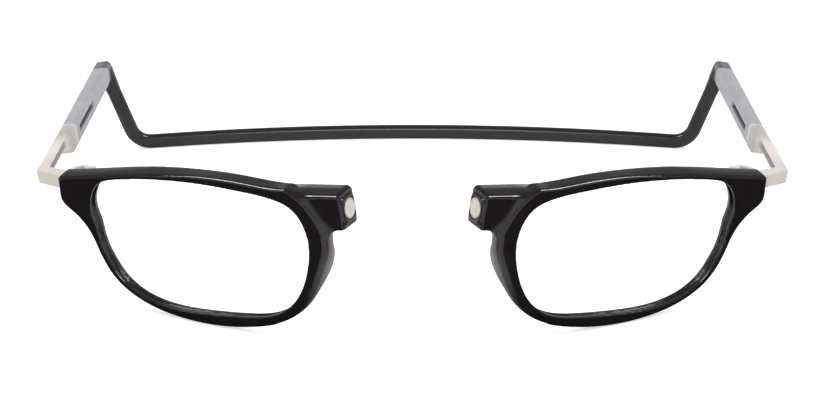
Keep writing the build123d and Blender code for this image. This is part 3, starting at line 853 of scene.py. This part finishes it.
def band_half():
    """The left half of the headband, from the middle of the back up into the sleeve's tip."""
    arc_end, corner, bend = band_ends()
    route = [rear_point(REAR_ARC_HALF * step / BAND_STEPS)[0] for step in range(BAND_STEPS)]
    route += rounded_route([arc_end, corner, bend], [CORNER_RADIUS], 16)
    section = rounded_rectangle(BAND_WIDTH, BAND_HEIGHT, BAND_ROUND)
    across = Vector((0, 1, 0))
    rings = []
    for before, here, after in zip([route[0]] + route, route, route[1:] + [route[-1]]):
        along = (after - before).normalized()
        across = (across - along * across.dot(along)).normalized()
        upward = across.cross(along)
        rings.append([here + across * u + upward * v for u, v in section])
    return ring_mesh("band", rings)


def sleeve_tip():
    """The collar of the tip that tapers onto the band, in the arm's axes."""
    _, corner, bend = band_ends()
    along = (corner - bend).normalized()
    across = Vector((0, 1, 0))
    across = (across - along * across.dot(along)).normalized()
    upward = along.cross(across)
    back = arm_axes.inverted()
    rings = []
    for step in range(TIP_STEPS + 1):
        share = step / TIP_STEPS
        grow = (1.0 - 0.9 * ease(share, 0.0, 1.0)) * MM
        section = rounded_rectangle(BAND_WIDTH + grow, BAND_HEIGHT + 0.5 * grow, BAND_ROUND)
        middle = bend + along * TIP_LENGTH * share
        rings.append([back @ (middle + across * u + upward * v) for u, v in section])
    return ring_mesh("tip", rings)


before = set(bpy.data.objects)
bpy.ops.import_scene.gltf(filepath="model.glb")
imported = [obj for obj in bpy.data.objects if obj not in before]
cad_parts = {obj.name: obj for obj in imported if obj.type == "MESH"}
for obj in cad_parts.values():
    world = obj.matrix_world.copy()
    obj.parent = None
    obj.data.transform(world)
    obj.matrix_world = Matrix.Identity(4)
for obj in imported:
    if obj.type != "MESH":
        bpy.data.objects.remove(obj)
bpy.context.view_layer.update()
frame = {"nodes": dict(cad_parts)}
nodes = frame["nodes"]

black_gloss = front_finish("black_gloss_nylon")
black_soft = moulded_plastic("black_soft_nylon", (0.012, 0.011, 0.014), 0.24, 0.02 * MM,
                             specular=0.5)
sleeve_coat = sleeve_finish("silver_grey_sleeve")
dark_nylon = moulded_plastic("natural_nylon", (0.03, 0.03, 0.032), 0.45, 0.03 * MM)
link_metal = link_finish("satin_link_metal")
cap_metal = satin_metal("hinge_cap_metal", (0.78, 0.74, 0.78), 0.3, metallic=0.3)
steel = satin_metal("stainless_steel", (0.62, 0.61, 0.6), 0.28)
magnet_face = satin_metal("nickel_plated_magnet", (0.80, 0.74, 0.68), 0.35, metallic=0.4)
brass = satin_metal("brass_insert", (0.7, 0.52, 0.24), 0.3)
lens_clear = clear_lens("clear_polycarbonate")

finishes = {
    "half_front": black_gloss, "lens": lens_clear, "magnet": magnet_face, "magnet_cup": steel,
    "hinge_screw": steel, "hinge_insert": brass, "temple_link": link_metal,
    "slider_tongue": dark_nylon, "tongue_pin": steel, "stop_pin": steel, "detent_spring": steel,
    "sleeve": sleeve_coat, "headband_leg": black_soft,
}
for side in SIDES:
    for name, finish in finishes.items():
        give(nodes[f"{side}_{name}"], finish)
give(nodes["headband_rear"], black_soft)

front_shape = fused_copy("left_half_front", front_axes, voxel=0.2 * MM, passes=4,
                         extras=[bridge_block()])
shaped_front(flatten(front_shape))
link_shape = fused_copy("left_temple_link", arm_axes, voxel=0.11 * MM, passes=18)
reshape(flatten(link_shape), channelled_bar)
sleeve_shape = fused_copy("left_sleeve", arm_axes, voxel=0.14 * MM, passes=5,
                          extras=[sleeve_tip()], foot=SLEEVE_FOOT)
cap_shape = hinge_cap()
band_shape = band_half()
for side in SIDES:
    front = add_piece(f"{side}_front_shell", on_side(front_shape, front_axes, side), black_gloss,
                      f"{side}_front")
    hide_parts(f"{side}_half_front")
    add_piece(f"{side}_hinge_cap", on_side(cap_shape, front_axes, side), cap_metal,
              f"{side}_front")
    link = add_piece(f"{side}_cast_link", on_side(link_shape, arm_axes, side), link_metal,
                     f"{side}_slider")
    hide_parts(f"{side}_temple_link")
    sleeve = add_piece(f"{side}_coated_sleeve", on_side(sleeve_shape, arm_axes, side), sleeve_coat,
                       f"{side}_temple")
    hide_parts(f"{side}_sleeve")
    band = add_piece(f"{side}_band", on_side(band_shape, Matrix.Identity(4), side), black_soft)
    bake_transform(band)
    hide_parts(f"{side}_headband_leg", "headband_rear")

bpy.context.scene.view_settings.view_transform = "Standard"
white_table()
studio_light()
for key_place in KEY_LAMPS:
    soft_box("key", key_place, size=0.3, power=4.0)
soft_box("front", FRONT_LAMP, size=0.35, power=2.2)
photo_camera()
